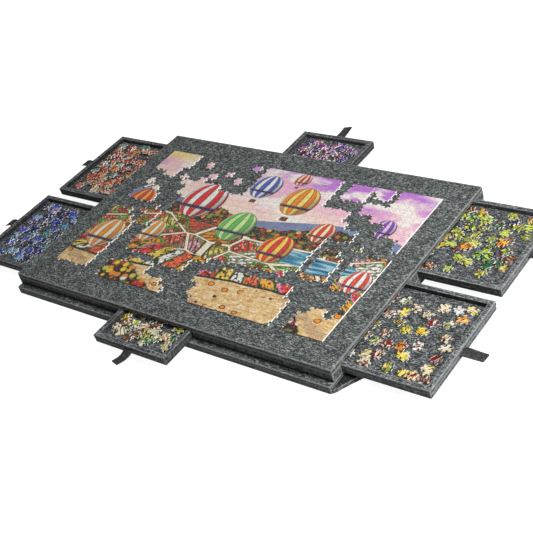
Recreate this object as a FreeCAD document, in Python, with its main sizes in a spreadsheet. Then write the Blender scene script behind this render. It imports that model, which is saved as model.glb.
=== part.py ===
import FreeCAD, Part
import math
import os

import Sketcher

# Felt jigsaw table board with six pull-out sorting trays.
# Origin: on the bottom board's underside, below the deck's centre. +X runs along the long side to the
# right, +Y from the front to the back, +Z up. All lengths are in millimetres.

SIZES = {
    # boards
    "deck_length": 900,       # puzzle deck, left to right
    "deck_depth": 605,        # puzzle deck, front to back
    "deck_thick": 10,
    "base_thick": 8,          # the bays' floor
    "bottom_thick": 10,       # the sheet that lies under it
    "base_lip": 15,           # both stand out this far at the front
    "flare_out": 40,          # the bottom sheet widens to the right by this much
    "flare_slant": 72,        # and this is how far along the edge it takes
    # strips between the boards, which make the tray bays
    "bay_height": 20,
    "edge_wall": 29.5,        # front and back walls, seen from above
    "centre_wall": 30,
    "divider": 12,
    "small_bay_shift": -6.5,  # the front and back bays sit a little left of centre
    # trays
    "tray_floor": 9,
    "rim_width": 12,
    "tray_lift": 0.3,         # running gap under a tray
    "tray_headroom": 1,       # running gap over its rim
    "large_play": 1,          # gap at each side of a large tray
    "large_end_gap": 5,       # behind a closed large tray, at the nearer divider
    "small_width": 207,
    "small_play": 3,          # gap at each side of a small tray
    "small_end_gap": 7.5,     # behind a closed small tray
    # how far each tray stands out of the deck's edge at rest
    "pull_left_front": 195,
    "pull_left_back": 186,
    "pull_right_front": 190,
    "pull_right_back": 184,
    "pull_front": 88,
    "pull_back": 116,
    # pull straps
    "strap_width": 25,
    "strap_thick": 2.5,
    "strap_cover": 2,         # rim strip left whole behind the strap's tongue
    "strap_slack": 0.2,       # gap round the tongue in its recess
    "strap_lead": 1.5,        # straight part outside the rim
    "strap_bend": 8,          # radius where the strap first hangs down
    "strap_droop": 38,        # angle it hangs down through, in degrees
    "strap_sweep": 42,        # radius of the long curve to the tip
    "strap_lift": 22,         # angle of the tip above level, in degrees
    "strap_shift": 8,         # off centre on the large trays at the front
    # softened felt edges
    "corner_round": 3,        # upright corners of the boards
    "edge_round": 2,          # long edges of the boards
    "seam_bevel": 0.8,        # cut edges of strips and trays
    "tray_corner": 2.5,       # upright corners of the trays
}

# The sides of a piece, as the axis and the end of its bounding box.
SIDES = {
    "left": ("X", "Min"),
    "right": ("X", "Max"),
    "front": ("Y", "Min"),
    "back": ("Y", "Max"),
    "bottom": ("Z", "Min"),
    "top": ("Z", "Max"),
}
UPRIGHT = [("left", "front"), ("right", "front"), ("left", "back"), ("right", "back")]
TOUCH = 0.001
FACINGS = ["right", "back", "left", "front"]  # each a quarter turn on from the last
QUARTER_TURN = 90

# Heights and lengths that follow from the sizes, as expressions on the sheet.
RIGHT_EDGE = "Sizes.deck_length / 2"
BACK_EDGE = "Sizes.deck_depth / 2"
BAY_FLOOR = "(Sizes.bottom_thick + Sizes.base_thick)"
DECK_UNDER = f"({BAY_FLOOR} + Sizes.bay_height)"
BASE_DEPTH = "(Sizes.deck_depth + Sizes.base_lip)"
BASE_CORNER = (f"-{RIGHT_EDGE}", f"-({BACK_EDGE} + Sizes.base_lip)")
SMALL_BAY = "(Sizes.small_width + 2 * Sizes.small_play)"
SMALL_LEFT = f"(Sizes.small_bay_shift - {SMALL_BAY} / 2)"
SMALL_RIGHT = f"(Sizes.small_bay_shift + {SMALL_BAY} / 2)"
SMALL_LENGTH = "((Sizes.deck_depth - Sizes.centre_wall) / 2 - Sizes.small_end_gap)"
SHAFT_HALF = f"({SMALL_BAY} / 2 + abs(Sizes.small_bay_shift) + Sizes.divider)"
LARGE_BAY = f"(({BACK_EDGE}) - Sizes.centre_wall / 2 - Sizes.edge_wall)"
LARGE_ACROSS = f"((Sizes.centre_wall + {LARGE_BAY}) / 2)"
LARGE_WIDTH = f"({LARGE_BAY} - 2 * Sizes.large_play)"
LARGE_LENGTH = f"({RIGHT_EDGE} - {SHAFT_HALF} - Sizes.large_end_gap)"
TRAY_BOTTOM = f"({BAY_FLOOR} + Sizes.tray_lift)"
TRAY_SEAM = f"({TRAY_BOTTOM} + Sizes.tray_floor)"
RIM_HEIGHT = f"({DECK_UNDER} - Sizes.tray_headroom - {TRAY_SEAM})"
TONGUE = "(Sizes.rim_width - Sizes.strap_cover)"

# Each tray is drawn with its mouth end to the right and then turned to its facing.
# name: facing, the deck edge it slides out of, its middle across the slide,
# its length and width, and how far its strap is off the middle
LARGE = (LARGE_LENGTH, LARGE_WIDTH)
SMALL = (SMALL_LENGTH, "Sizes.small_width")
OFF_MIDDLE = "-Sizes.strap_shift"
TRAYS = {
    "right_front": ("right", RIGHT_EDGE, f"-{LARGE_ACROSS}", LARGE, OFF_MIDDLE),
    "right_back": ("right", RIGHT_EDGE, LARGE_ACROSS, LARGE, "0"),
    "back": ("back", BACK_EDGE, "-Sizes.small_bay_shift", SMALL, "0"),
    "left_front": ("left", RIGHT_EDGE, LARGE_ACROSS, LARGE, OFF_MIDDLE),
    "left_back": ("left", RIGHT_EDGE, f"-{LARGE_ACROSS}", LARGE, "0"),
    "front": ("front", BACK_EDGE, "Sizes.small_bay_shift", SMALL, "0"),
}


def make_sheet(doc):
    sheet = doc.addObject("Spreadsheet::Sheet", "Sizes")
    for row, (alias, value) in enumerate(SIZES.items(), 1):
        sheet.set(f"A{row}", alias)
        sheet.set(f"B{row}", str(value))
        sheet.setAlias(f"B{row}", alias)
    doc.recompute()


def origin_plane(body, role):
    for feature in body.Origin.OriginFeatures:
        if feature.Role == role:
            return feature
    raise ValueError(f"{body.Label} has no {role}")


def new_sketch(body, name, role):
    sketch = body.newObject("Sketcher::SketchObject", name)
    sketch.AttachmentSupport = [(origin_plane(body, role), "")]
    sketch.MapMode = "FlatFace"
    return sketch


def bind(sketch, kind, parts, name, expression):
    """A named dimension that follows an expression on the sheet."""
    value = float(sketch.evalExpression(expression))
    if kind == "Angle":
        value = math.radians(value)
    index = sketch.addConstraint(Sketcher.Constraint(kind, *parts, value))
    sketch.renameConstraint(index, name)
    sketch.setExpression(f"Constraints.{name}", expression)


def rectangle(sketch, length, width, start_x="0", start_y="0"):
    """A rectangle whose low corner is at start_x, start_y."""
    x, y, long, wide = (sketch.evalExpression(e) for e in (start_x, start_y, length, width))
    outline = [(x, y), (x + long, y), (x + long, y + wide), (x, y + wide)]
    corners = [FreeCAD.Vector(float(cx), float(cy), 0) for cx, cy in outline]
    for n in range(4):
        sketch.addGeometry(Part.LineSegment(corners[n], corners[(n + 1) % 4]))
    for n in range(4):
        sketch.addConstraint(Sketcher.Constraint("Coincident", n, 2, (n + 1) % 4, 1))
        sketch.addConstraint(Sketcher.Constraint("Vertical" if n % 2 else "Horizontal", n))
    bind(sketch, "DistanceX", (0, 1, 0, 2), "length", length)
    bind(sketch, "DistanceY", (1, 1, 1, 2), "width", width)
    bind(sketch, "DistanceX", (-1, 1, 0, 1), "start_x", start_x)
    bind(sketch, "DistanceY", (-1, 1, 0, 1), "start_y", start_y)


def polygon(sketch, corners):
    """A closed outline through the corners, each an x and a y expression."""
    points = [[float(sketch.evalExpression(e)) for e in corner] for corner in corners]
    spots = [FreeCAD.Vector(x, y, 0) for x, y in points]
    count = len(spots)
    for n in range(count):
        sketch.addGeometry(Part.LineSegment(spots[n], spots[(n + 1) % count]))
    for n in range(count):
        sketch.addConstraint(Sketcher.Constraint("Coincident", n, 2, (n + 1) % count, 1))
    for n, (x, y) in enumerate(corners):
        bind(sketch, "DistanceX", (-1, 1, n, 1), f"corner_{n}_x", x)
        bind(sketch, "DistanceY", (-1, 1, n, 1), f"corner_{n}_y", y)


def turned(x, y, facing):
    """A point of a piece's own frame, turned about +Z to its facing."""
    turns = {
        "right": (x, y),
        "back": (f"-({y})", x),
        "left": (f"-({x})", f"-({y})"),
        "front": (y, f"-({x})"),
    }
    return turns[facing]


def place(body, x, y, z, facing):
    angle = QUARTER_TURN * FACINGS.index(facing)
    turn = FreeCAD.Rotation(FreeCAD.Vector(0, 0, 1), angle)
    body.Placement = FreeCAD.Placement(FreeCAD.Vector(0, 0, 0), turn)
    place_x, place_y = turned(x, y, facing)
    body.setExpression(".Placement.Base.x", place_x)
    body.setExpression(".Placement.Base.y", place_y)
    body.setExpression(".Placement.Base.z", z)


def new_body(doc, label):
    body = doc.addObject("PartDesign::Body", label)
    body.Label = label
    return body


def board(doc, label, size, corner, facing="right"):
    """A flat felt board or strip: size is length, width and thickness, corner its low corner."""
    length, width, thickness = size
    body = new_body(doc, label)
    sketch = new_sketch(body, "Outline", "XY_Plane")
    rectangle(sketch, length, width)
    pad = body.newObject("PartDesign::Pad", "Thickness")
    pad.Profile = sketch
    pad.setExpression("Length", thickness)
    body.Tip = pad
    place(body, *corner, facing)
    doc.recompute()
    return body


def on_side(edge, box, side):
    if side == "upright":
        return abs(edge.BoundBox.ZLength - box.ZLength) < TOUCH
    axis, end = SIDES[side]
    target = getattr(box, axis + end)
    ends = [getattr(edge.BoundBox, axis + e) for e in ("Min", "Max")]
    return all(abs(value - target) < TOUCH for value in ends)


def dress_edges(body, kind, size_name, size, groups):
    """Fillet or chamfer the edges that lie on all sides of any one group."""
    base = body.Tip
    pad = next(feature for feature in body.Group if feature.isDerivedFrom("PartDesign::Pad"))
    box = pad.Shape.BoundBox
    names = []
    for number, edge in enumerate(base.Shape.Edges, 1):
        if any(all(on_side(edge, box, side) for side in group) for group in groups):
            names.append(f"Edge{number}")
    feature = body.newObject(f"PartDesign::{kind}", kind)
    feature.Base = (base, names)
    feature.setExpression(size_name, f"Sizes.{size}")
    body.Tip = feature
    body.Document.recompute()


def round_edges(body, radius, pairs):
    dress_edges(body, "Fillet", "Radius", radius, pairs)


def bevel_edges(body, pairs):
    dress_edges(body, "Chamfer", "Size", "seam_bevel", pairs)


def around(side):
    return [(end, side) for end in ("left", "right", "front", "back")]


def make_bottom(doc):
    """The lowest sheet. Its right edge widens out under the right front tray."""
    long, deep = "Sizes.deck_length", BASE_DEPTH
    far_end = f"(Sizes.base_lip + {BACK_EDGE} - Sizes.centre_wall / 2)"
    widest = f"({long} + Sizes.flare_out)"
    outline = [("0", "0"), (long, "0"), (widest, "Sizes.flare_slant"),
               (widest, f"{far_end} - Sizes.flare_slant"), (long, far_end), (long, deep), ("0", deep)]
    body = new_body(doc, "bottom_board")
    sketch = new_sketch(body, "Outline", "XY_Plane")
    polygon(sketch, outline)
    pad = body.newObject("PartDesign::Pad", "Thickness")
    pad.Profile = sketch
    pad.setExpression("Length", "Sizes.bottom_thick")
    body.Tip = pad
    place(body, *BASE_CORNER, "0", "right")
    doc.recompute()
    round_edges(body, "corner_round", [("upright",)])
    bevel_edges(body, [("bottom",)])
    return body


def make_base(doc):
    size = ("Sizes.deck_length", BASE_DEPTH, "Sizes.base_thick")
    body = board(doc, "base_board", size, (*BASE_CORNER, "Sizes.bottom_thick"))
    round_edges(body, "corner_round", UPRIGHT)
    round_edges(body, "edge_round", around("top"))
    return body


def make_deck(doc):
    corner = (f"-{RIGHT_EDGE}", f"-{BACK_EDGE}", DECK_UNDER)
    size = ("Sizes.deck_length", "Sizes.deck_depth", "Sizes.deck_thick")
    body = board(doc, "deck_board", size, corner)
    round_edges(body, "corner_round", UPRIGHT)
    round_edges(body, "edge_round", around("top"))
    return body


def make_edge_wall(doc, side, end):
    """A front or back wall strip, from a corner of the deck to the small bay in that side."""
    start = f"-{RIGHT_EDGE}" if end == "left" else SMALL_RIGHT
    stop = SMALL_LEFT if end == "left" else RIGHT_EDGE
    low_y = f"-{BACK_EDGE}" if side == "front" else f"{BACK_EDGE} - Sizes.edge_wall"
    size = (f"{stop} - ({start})", "Sizes.edge_wall", "Sizes.bay_height")
    body = board(doc, f"{side}_wall_{end}", size, (start, low_y, BAY_FLOOR))
    mouth = "right" if end == "left" else "left"
    round_edges(body, "corner_round", [(end, side)])
    bevel_edges(body, [(mouth, side), (side, "bottom")])
    return body


def make_centre_wall(doc, part, start, stop):
    size = (f"{stop} - ({start})", "Sizes.centre_wall", "Sizes.bay_height")
    corner = (start, "-Sizes.centre_wall / 2", BAY_FLOOR)
    return board(doc, f"centre_wall_{part}", size, corner)


def make_divider(doc, end, low_x):
    depth = "(Sizes.deck_depth - 2 * Sizes.edge_wall)"
    size = ("Sizes.divider", depth, "Sizes.bay_height")
    return board(doc, f"divider_{end}", size, (low_x, f"-{depth} / 2", BAY_FLOOR))


def make_case(doc):
    left_divider = f"({SMALL_LEFT} - Sizes.divider)"
    pieces = [make_bottom(doc), make_base(doc), make_deck(doc)]
    for side in ("front", "back"):
        for end in ("left", "right"):
            pieces.append(make_edge_wall(doc, side, end))
    pieces.append(make_centre_wall(doc, "left", f"-{RIGHT_EDGE}", left_divider))
    pieces.append(make_centre_wall(doc, "middle", SMALL_LEFT, SMALL_RIGHT))
    pieces.append(make_centre_wall(doc, "right", f"({SMALL_RIGHT} + Sizes.divider)", RIGHT_EDGE))
    pieces.append(make_divider(doc, "left", left_divider))
    pieces.append(make_divider(doc, "right", SMALL_RIGHT))
    return pieces


def make_floor(doc, tray, inner, low_side, length, width, facing):
    size = (length, width, "Sizes.tray_floor")
    body = board(doc, f"{tray}_tray_floor", size, (inner, low_side, TRAY_BOTTOM), facing)
    round_edges(body, "tray_corner", UPRIGHT)
    bevel_edges(body, around("top") + around("bottom"))
    return body


def make_side_rim(doc, tray, hand, inner, low_side, length, facing):
    """A rim strip along the slide, between the two end strips."""
    corner = (f"{inner} + Sizes.rim_width", low_side, TRAY_SEAM)
    size = (f"{length} - 2 * Sizes.rim_width", "Sizes.rim_width", RIM_HEIGHT)
    body = board(doc, f"{tray}_tray_rim_{hand}", size, corner, facing)
    outside = "front" if hand == "near" else "back"
    bevel_edges(body, [("front", "top"), ("back", "top"), (outside, "bottom")])
    return body


def make_inner_rim(doc, tray, inner, low_side, width, facing):
    size = ("Sizes.rim_width", width, RIM_HEIGHT)
    body = board(doc, f"{tray}_tray_rim_inner", size, (inner, low_side, TRAY_SEAM), facing)
    round_edges(body, "tray_corner", [("left", "front"), ("left", "back")])
    bevel_edges(body, [("left", "top"), ("right", "top"), ("left", "bottom")])
    return body


def make_outer_rim(doc, tray, outer, low_side, width, strap_middle, facing):
    """The mouth-end strip, with a recess in its underside for the strap's tongue."""
    corner = (f"{outer} - Sizes.rim_width", low_side, TRAY_SEAM)
    size = ("Sizes.rim_width", width, RIM_HEIGHT)
    body = board(doc, f"{tray}_tray_rim_outer", size, corner, facing)
    round_edges(body, "tray_corner", [("right", "front"), ("right", "back")])
    bevel_edges(body, [("left", "top"), ("right", "top"), ("right", "bottom")])
    recess = new_sketch(body, "StrapRecess", "XY_Plane")
    long = f"({TONGUE} + Sizes.strap_slack)"
    wide = "(Sizes.strap_width + 2 * Sizes.strap_slack)"
    rectangle(recess, long, wide, f"Sizes.rim_width - {long}", f"{strap_middle} - {wide} / 2")
    pocket = body.newObject("PartDesign::Pocket", "Recess")
    pocket.Profile = recess
    pocket.Reversed = True
    pocket.setExpression("Length", "Sizes.strap_thick")
    body.Tip = pocket
    doc.recompute()
    return body


def strap_path(sketch):
    """The strap's middle line: glued tongue, a tight hang and a long curve to the tip."""
    straight = SIZES["rim_width"] - SIZES["strap_cover"] + SIZES["strap_lead"]
    droop = math.radians(SIZES["strap_droop"])
    lift = math.radians(SIZES["strap_lift"])
    tongue_end = FreeCAD.Vector(straight, 0, 0)
    bend_middle = tongue_end - FreeCAD.Vector(0, SIZES["strap_bend"], 0)
    hang = FreeCAD.Vector(math.sin(droop), math.cos(droop), 0)
    sweep_middle = bend_middle + hang * (SIZES["strap_bend"] + SIZES["strap_sweep"])
    up = FreeCAD.Vector(0, 0, 1)
    bend = Part.Circle(bend_middle, up, SIZES["strap_bend"])
    sweep = Part.Circle(sweep_middle, up, SIZES["strap_sweep"])
    top, low = math.pi / 2, 3 * math.pi / 2
    sketch.addGeometry(Part.LineSegment(FreeCAD.Vector(0, 0, 0), tongue_end))
    sketch.addGeometry(Part.ArcOfCircle(bend, top - droop, top))
    sketch.addGeometry(Part.ArcOfCircle(sweep, low - droop, low + lift))
    sketch.addConstraint(Sketcher.Constraint("Coincident", 0, 1, -1, 1))
    sketch.addConstraint(Sketcher.Constraint("Horizontal", 0))
    sketch.addConstraint(Sketcher.Constraint("Tangent", 0, 2, 1, 2))
    sketch.addConstraint(Sketcher.Constraint("Tangent", 1, 1, 2, 1))
    bind(sketch, "DistanceX", (0, 1, 0, 2), "straight", f"{TONGUE} + Sizes.strap_lead")
    bind(sketch, "Radius", (1,), "bend", "Sizes.strap_bend")
    bind(sketch, "Radius", (2,), "sweep", "Sizes.strap_sweep")
    bind(sketch, "Angle", (1,), "droop", "Sizes.strap_droop * 1 deg")
    bind(sketch, "Angle", (2,), "rise", "(Sizes.strap_droop + Sizes.strap_lift) * 1 deg")


def make_strap(doc, tray, outer, across, facing):
    body = new_body(doc, f"{tray}_tray_strap")
    section = new_sketch(body, "Section", "YZ_Plane")
    wide, thick = "Sizes.strap_width", "Sizes.strap_thick"
    rectangle(section, wide, thick, f"-{wide} / 2", f"-{thick} / 2")
    path = new_sketch(body, "Path", "XZ_Plane")
    strap_path(path)
    doc.recompute()
    pipe = body.newObject("PartDesign::AdditivePipe", "Strap")
    pipe.Profile = section
    pipe.Spine = (path, [f"Edge{n}" for n in (1, 2, 3)])
    body.Tip = pipe
    place(body, f"{outer} - {TONGUE}", across, f"{TRAY_SEAM} + {thick} / 2", facing)
    doc.recompute()
    return body


def make_tray(doc, tray):
    facing, edge, across, (length, width), strap_off = TRAYS[tray]
    outer = f"({edge} + Sizes.pull_{tray})"
    inner = f"({outer} - {length})"
    low_side = f"({across} - {width} / 2)"
    high_strip = f"({across} + {width} / 2 - Sizes.rim_width)"
    strap_middle = f"({width} / 2 + {strap_off})"
    return [
        make_floor(doc, tray, inner, low_side, length, width, facing),
        make_outer_rim(doc, tray, outer, low_side, width, strap_middle, facing),
        make_inner_rim(doc, tray, inner, low_side, width, facing),
        make_side_rim(doc, tray, "near", inner, low_side, length, facing),
        make_side_rim(doc, tray, "far", inner, high_strip, length, facing),
        make_strap(doc, tray, outer, f"({across} + {strap_off})", facing),
    ]


def check(doc, pieces):
    for item in doc.Objects:
        faults = [state for state in item.State if state in ("Invalid", "Error")]
        if faults:
            raise RuntimeError(f"{item.Label}: {faults}")
    for piece in pieces:
        if piece.Shape.isNull() or not piece.Shape.isValid() or len(piece.Shape.Solids) != 1:
            raise RuntimeError(f"{piece.Label}: bad shape")


def main():
    doc = FreeCAD.newDocument("PuzzleTable")
    make_sheet(doc)
    pieces = make_case(doc)
    for tray in TRAYS:
        pieces.extend(make_tray(doc, tray))
    doc.recompute()
    check(doc, pieces)
    os.makedirs("parts", exist_ok=True)
    for piece in pieces:
        piece.Shape.exportStep(f"parts/{piece.Label}.step")
    print(len(pieces), "pieces written")


main()
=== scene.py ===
import itertools
import math

import bpy
import numpy as np
from mathutils import Matrix, Quaternion, Vector


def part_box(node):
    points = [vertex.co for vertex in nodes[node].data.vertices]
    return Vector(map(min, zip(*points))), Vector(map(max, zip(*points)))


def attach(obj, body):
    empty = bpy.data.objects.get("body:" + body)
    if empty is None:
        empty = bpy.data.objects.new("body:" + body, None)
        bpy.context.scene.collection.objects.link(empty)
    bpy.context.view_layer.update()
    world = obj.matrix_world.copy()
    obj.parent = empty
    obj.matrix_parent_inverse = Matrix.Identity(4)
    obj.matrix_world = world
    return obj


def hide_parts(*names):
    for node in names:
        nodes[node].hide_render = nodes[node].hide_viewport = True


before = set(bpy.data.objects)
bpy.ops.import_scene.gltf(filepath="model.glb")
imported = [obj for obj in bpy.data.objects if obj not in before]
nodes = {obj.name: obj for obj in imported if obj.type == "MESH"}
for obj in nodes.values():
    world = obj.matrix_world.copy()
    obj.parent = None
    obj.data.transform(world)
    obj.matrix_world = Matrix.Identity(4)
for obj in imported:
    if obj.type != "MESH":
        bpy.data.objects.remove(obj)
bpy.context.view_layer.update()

mm = 0.001
dice = np.random.default_rng(20)
trays = ("right_front", "right_back", "back", "left_back", "left_front", "front")


# shader helpers

class Wire:
    # the value of one socket; arithmetic on wires adds Math nodes
    def __init__(self, paint, socket):
        self.paint = paint
        self.socket = socket

    def maths(self, operation, *values):
        return self.paint.node("ShaderNodeMath", {"operation": operation}, dict(enumerate(values)))

    def __add__(self, other):
        return self.maths("ADD", self, other)

    __radd__ = __add__

    def __sub__(self, other):
        return self.maths("SUBTRACT", self, other)

    def __rsub__(self, other):
        return self.maths("SUBTRACT", other, self)

    def __mul__(self, other):
        return self.maths("MULTIPLY", self, other)

    __rmul__ = __mul__

    def __truediv__(self, other):
        return self.maths("DIVIDE", self, other)

    def __rtruediv__(self, other):
        return self.maths("DIVIDE", other, self)

    def root(self):
        return self.maths("SQRT", self.maths("MAXIMUM", self, 0.0))

    def sine(self):
        return self.maths("SINE", self)

    def size(self):
        return self.maths("ABSOLUTE", self)

    def rest(self):
        return self.maths("FRACT", self)

    def either(self, other):
        return self.maths("MAXIMUM", self, other)

    def both(self, other):
        return self.maths("MINIMUM", self, other)


class Paint:
    # one material and the nodes in it
    def __init__(self, name):
        self.material = bpy.data.materials.new(name)
        self.material.use_nodes = True
        self.tree = self.material.node_tree
        self.tree.nodes.clear()

    def node(self, kind, settings=None, inputs=None, output=0):
        made = self.tree.nodes.new(kind)
        for name, value in (settings or {}).items():
            if name == "stops":
                fillRamp(made.color_ramp, value)
            elif name == "between":
                made.color_ramp.interpolation = value
            else:
                setattr(made, name, value)
        for name, value in (inputs or {}).items():
            if isinstance(value, Wire):
                self.tree.links.new(value.socket, made.inputs[name])
            else:
                made.inputs[name].default_value = value
        return Wire(self, made.outputs[output])

    def place(self, stretch=(1, 1, 1)):
        # object coordinates in metres
        return self.mapped(self.node("ShaderNodeTexCoord", output="Object"), stretch=stretch)

    def mapped(self, where, move=(0, 0, 0), turn=(0, 0, 0), stretch=(1, 1, 1)):
        sockets = {"Vector": where, "Location": move, "Rotation": turn, "Scale": stretch}
        return self.node("ShaderNodeMapping", {}, sockets)

    def noise(self, where, scale, detail=2.0, rough=0.5, bend=0.0, output="Fac"):
        sockets = {"Vector": where, "Scale": scale, "Detail": detail, "Roughness": rough, "Distortion": bend}
        return self.node("ShaderNodeTexNoise", {}, sockets, output)

    def cells(self, where, scale, output="Distance"):
        return self.node("ShaderNodeTexVoronoi", {}, {"Vector": where, "Scale": scale}, output)

    def borders(self, where, scale):
        # how far the border of the cell is
        feature = {"feature": "DISTANCE_TO_EDGE"}
        return self.node("ShaderNodeTexVoronoi", feature, {"Vector": where, "Scale": scale})

    def step(self, value, low, high, start=0.0, stop=1.0):
        sockets = {"Value": value, "From Min": low, "From Max": high, "To Min": start, "To Max": stop}
        return self.node("ShaderNodeMapRange", {"interpolation_type": "SMOOTHSTEP"}, sockets)

    def mix(self, share, first, second):
        sockets = {0: share, 6: colour(first), 7: colour(second)}
        return self.node("ShaderNodeMix", {"data_type": "RGBA"}, sockets, 2)

    def lay(self, under, *coats):
        # each coat is a colour and its share, or a colour and the step that gives its share
        for tone, share, *ends in coats:
            under = self.mix(self.step(share, *ends) if ends else share, under, tone)
        return under

    def ramp(self, value, stops, between="LINEAR"):
        return self.node("ShaderNodeValToRGB", {"stops": stops, "between": between}, {"Fac": value})

    def attribute(self, name, output="Fac"):
        return self.node("ShaderNodeAttribute", {"attribute_name": name}, output=output)

    def vectors(self, operation, first, second):
        return self.node("ShaderNodeVectorMath", {"operation": operation}, {0: first, 1: second})

    def parts(self, vector):
        return [self.node("ShaderNodeSeparateXYZ", {}, {"Vector": vector}, axis) for axis in "XYZ"]

    def vector(self, x, y):
        return self.node("ShaderNodeCombineXYZ", {}, {"X": x, "Y": y})

    def bump(self, height, strength, distance):
        return self.node("ShaderNodeBump", {}, {"Height": height, "Strength": strength, "Distance": distance})

    def finish(self, sockets):
        self.end(self.node("ShaderNodeBsdfPrincipled", {}, sockets))
        return self.material

    def end(self, surface):
        out = self.tree.nodes.new("ShaderNodeOutputMaterial")
        self.tree.links.new(surface.socket, out.inputs["Surface"])


def colour(value):
    return value if isinstance(value, Wire) or len(value) == 4 else (*value, 1.0)


def fillRamp(ramp, stops):
    while len(ramp.elements) < len(stops):
        ramp.elements.new(0.5)
    for element, (at, *tone) in zip(ramp.elements, stops):
        element.position = at
        element.color = colour(tone)


# modelling helpers

def switchTo(mode):
    bpy.ops.object.mode_set(mode=mode)


def clearSelection():
    if bpy.context.object and bpy.context.object.mode != "OBJECT":
        switchTo("OBJECT")
    bpy.ops.object.select_all(action="DESELECT")


def addBox(name, low, high):
    clearSelection()
    low, high = Vector(low), Vector(high)
    bpy.ops.mesh.primitive_cube_add(size=1, location=(low + high) / 2, scale=high - low)
    bpy.ops.object.transform_apply(location=True, rotation=True, scale=True)
    piece = bpy.context.object
    piece.name = name
    return piece


def startPicking(kind):
    switchTo("EDIT")
    bpy.ops.mesh.select_mode(type=kind)
    bpy.ops.mesh.select_all(action="DESELECT")
    switchTo("OBJECT")


def pickEdges(piece, test):
    # leaves the piece in edit mode with the edges whose two ends pass the test selected
    startPicking("EDGE")
    points = piece.data.vertices
    for edge in piece.data.edges:
        edge.select = test(*(points[n].co for n in edge.vertices))
    switchTo("EDIT")


def pickFaces(piece, test):
    startPicking("FACE")
    for face in piece.data.polygons:
        face.select = test(face)
    switchTo("EDIT")


def applyModifier(piece, kind, settings):
    clearSelection()
    bpy.context.view_layer.objects.active = piece
    piece.select_set(True)
    modifier = piece.modifiers.new("shape", kind)
    for name, value in settings.items():
        setattr(modifier, name, value)
    bpy.ops.object.modifier_apply(modifier="shape")


def joinPieces(name, parts):
    clearSelection()
    for part in parts:
        part.select_set(True)
    bpy.context.view_layer.objects.active = parts[0]
    bpy.ops.object.join()
    parts[0].name = name
    return parts[0]


def addObject(name, data):
    made = bpy.data.objects.new(name, data)
    bpy.context.scene.collection.objects.link(made)
    return made


def copyPiece(piece, name):
    copy = piece.copy()
    copy.data = piece.data.copy()
    copy.name = name
    bpy.context.scene.collection.objects.link(copy)
    return copy


def middleOf(piece):
    return sum((point.co for point in piece.data.vertices), Vector()) / len(piece.data.vertices)


def setFaces(piece, name, values):
    # a number for each face, which the paint reads
    piece.data.attributes.new(name, "FLOAT", "FACE").data.foreach_set("value", values)


def clouds(name, scale, depth=1):
    texture = bpy.data.textures.new(name, "CLOUDS")
    texture.noise_scale = scale
    texture.noise_depth = depth
    return texture


# felt

# felt colours: dark, mid and light fibres, the tone of the cut sides, which is partly painted shade, and the
# strength of a painted highlight along the edges; the four copies after the floor felt are the same felt
# painted darker as shade
feltTones = {
    "boardFelt": {"dark": (0.027, 0.030, 0.030), "mid": (0.074, 0.082, 0.082), "light": (0.43, 0.465, 0.455),
                  "cut": (0.045, 0.041, 0.034), "trim": 0.55},
    "rimFelt": {"dark": (0.028, 0.030, 0.031), "mid": (0.080, 0.086, 0.087), "light": (0.45, 0.475, 0.475),
                "cut": (0.048, 0.049, 0.049), "trim": 0.5},
    "floorFelt": {"dark": (0.022, 0.024, 0.025), "mid": (0.060, 0.065, 0.067), "light": (0.40, 0.425, 0.43),
                  "cut": (0.042, 0.043, 0.043), "trim": 0.4},
    "dimFelt": {"dark": (0.023, 0.025, 0.026), "mid": (0.064, 0.069, 0.071), "light": (0.40, 0.425, 0.43),
                "cut": (0.026, 0.027, 0.027), "trim": 0.45},
    "wellFelt": {"dark": (0.007, 0.008, 0.008), "mid": (0.020, 0.022, 0.022), "light": (0.13, 0.14, 0.14),
                 "cut": (0.014, 0.014, 0.014), "trim": 0.0},
    "duskFelt": {"dark": (0.013, 0.014, 0.014), "mid": (0.036, 0.039, 0.040), "light": (0.23, 0.245, 0.25),
                 "cut": (0.022, 0.023, 0.023), "trim": 0.15},
    "shadedFelt": {"dark": (0.002, 0.002, 0.002), "mid": (0.005, 0.005, 0.005), "light": (0.02, 0.02, 0.02),
                   "cut": (0.005, 0.005, 0.005), "trim": 0.5},
    "strapFelt": {"dark": (0.018, 0.018, 0.018), "mid": (0.040, 0.040, 0.039), "light": (0.115, 0.115, 0.115),
                  "cut": (0.034, 0.034, 0.034), "trim": 0.4},
}
# sizes in the felt's pattern; one of them is how far from an edge the painted highlight reaches
feltFibre = {"length": 9.5 * mm, "width": 2.4 * mm, "sway": 5.5 * mm, "fuzz": 1.1 * mm, "relief": 0.6 * mm,
             "trim": 4.0 * mm, "streak": 26 * mm, "layer": 2.2 * mm}


def strands(paint, bent, turn, move):
    # long thin fibres that lie one way
    stretch = (1 / feltFibre["length"], 1 / feltFibre["width"], 1 / feltFibre["width"])
    return paint.noise(paint.mapped(bent, move, (0, 0, turn), stretch), 1.0, 1, 0.5)


def sway(paint, where):
    # bends the fibres this way and that
    shift = paint.vectors("SUBTRACT", paint.noise(where, 60, 2, 0.6, output="Color"), (0.5, 0.5, 0.5))
    sockets = {0: shift, "Scale": 3 * feltFibre["sway"]}
    return paint.vectors("ADD", where, paint.node("ShaderNodeVectorMath", {"operation": "SCALE"}, sockets))


def nearEdge(paint, where):
    # 1 along the piece's own long edges, from the box that it was cut to, where the felt gets its painted
    # highlight
    low = paint.attribute("cutLow", "Vector")
    high = paint.attribute("cutHigh", "Vector")
    above = paint.vectors("SUBTRACT", where, low)
    below = paint.vectors("SUBTRACT", high, where)
    x, y, z = paint.parts(paint.vectors("MINIMUM", above, below))
    middle = x + y + z - x.both(y).both(z) - x.either(y).either(z)
    return paint.step(middle, feltFibre["trim"], 0.2 * feltFibre["trim"])


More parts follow.
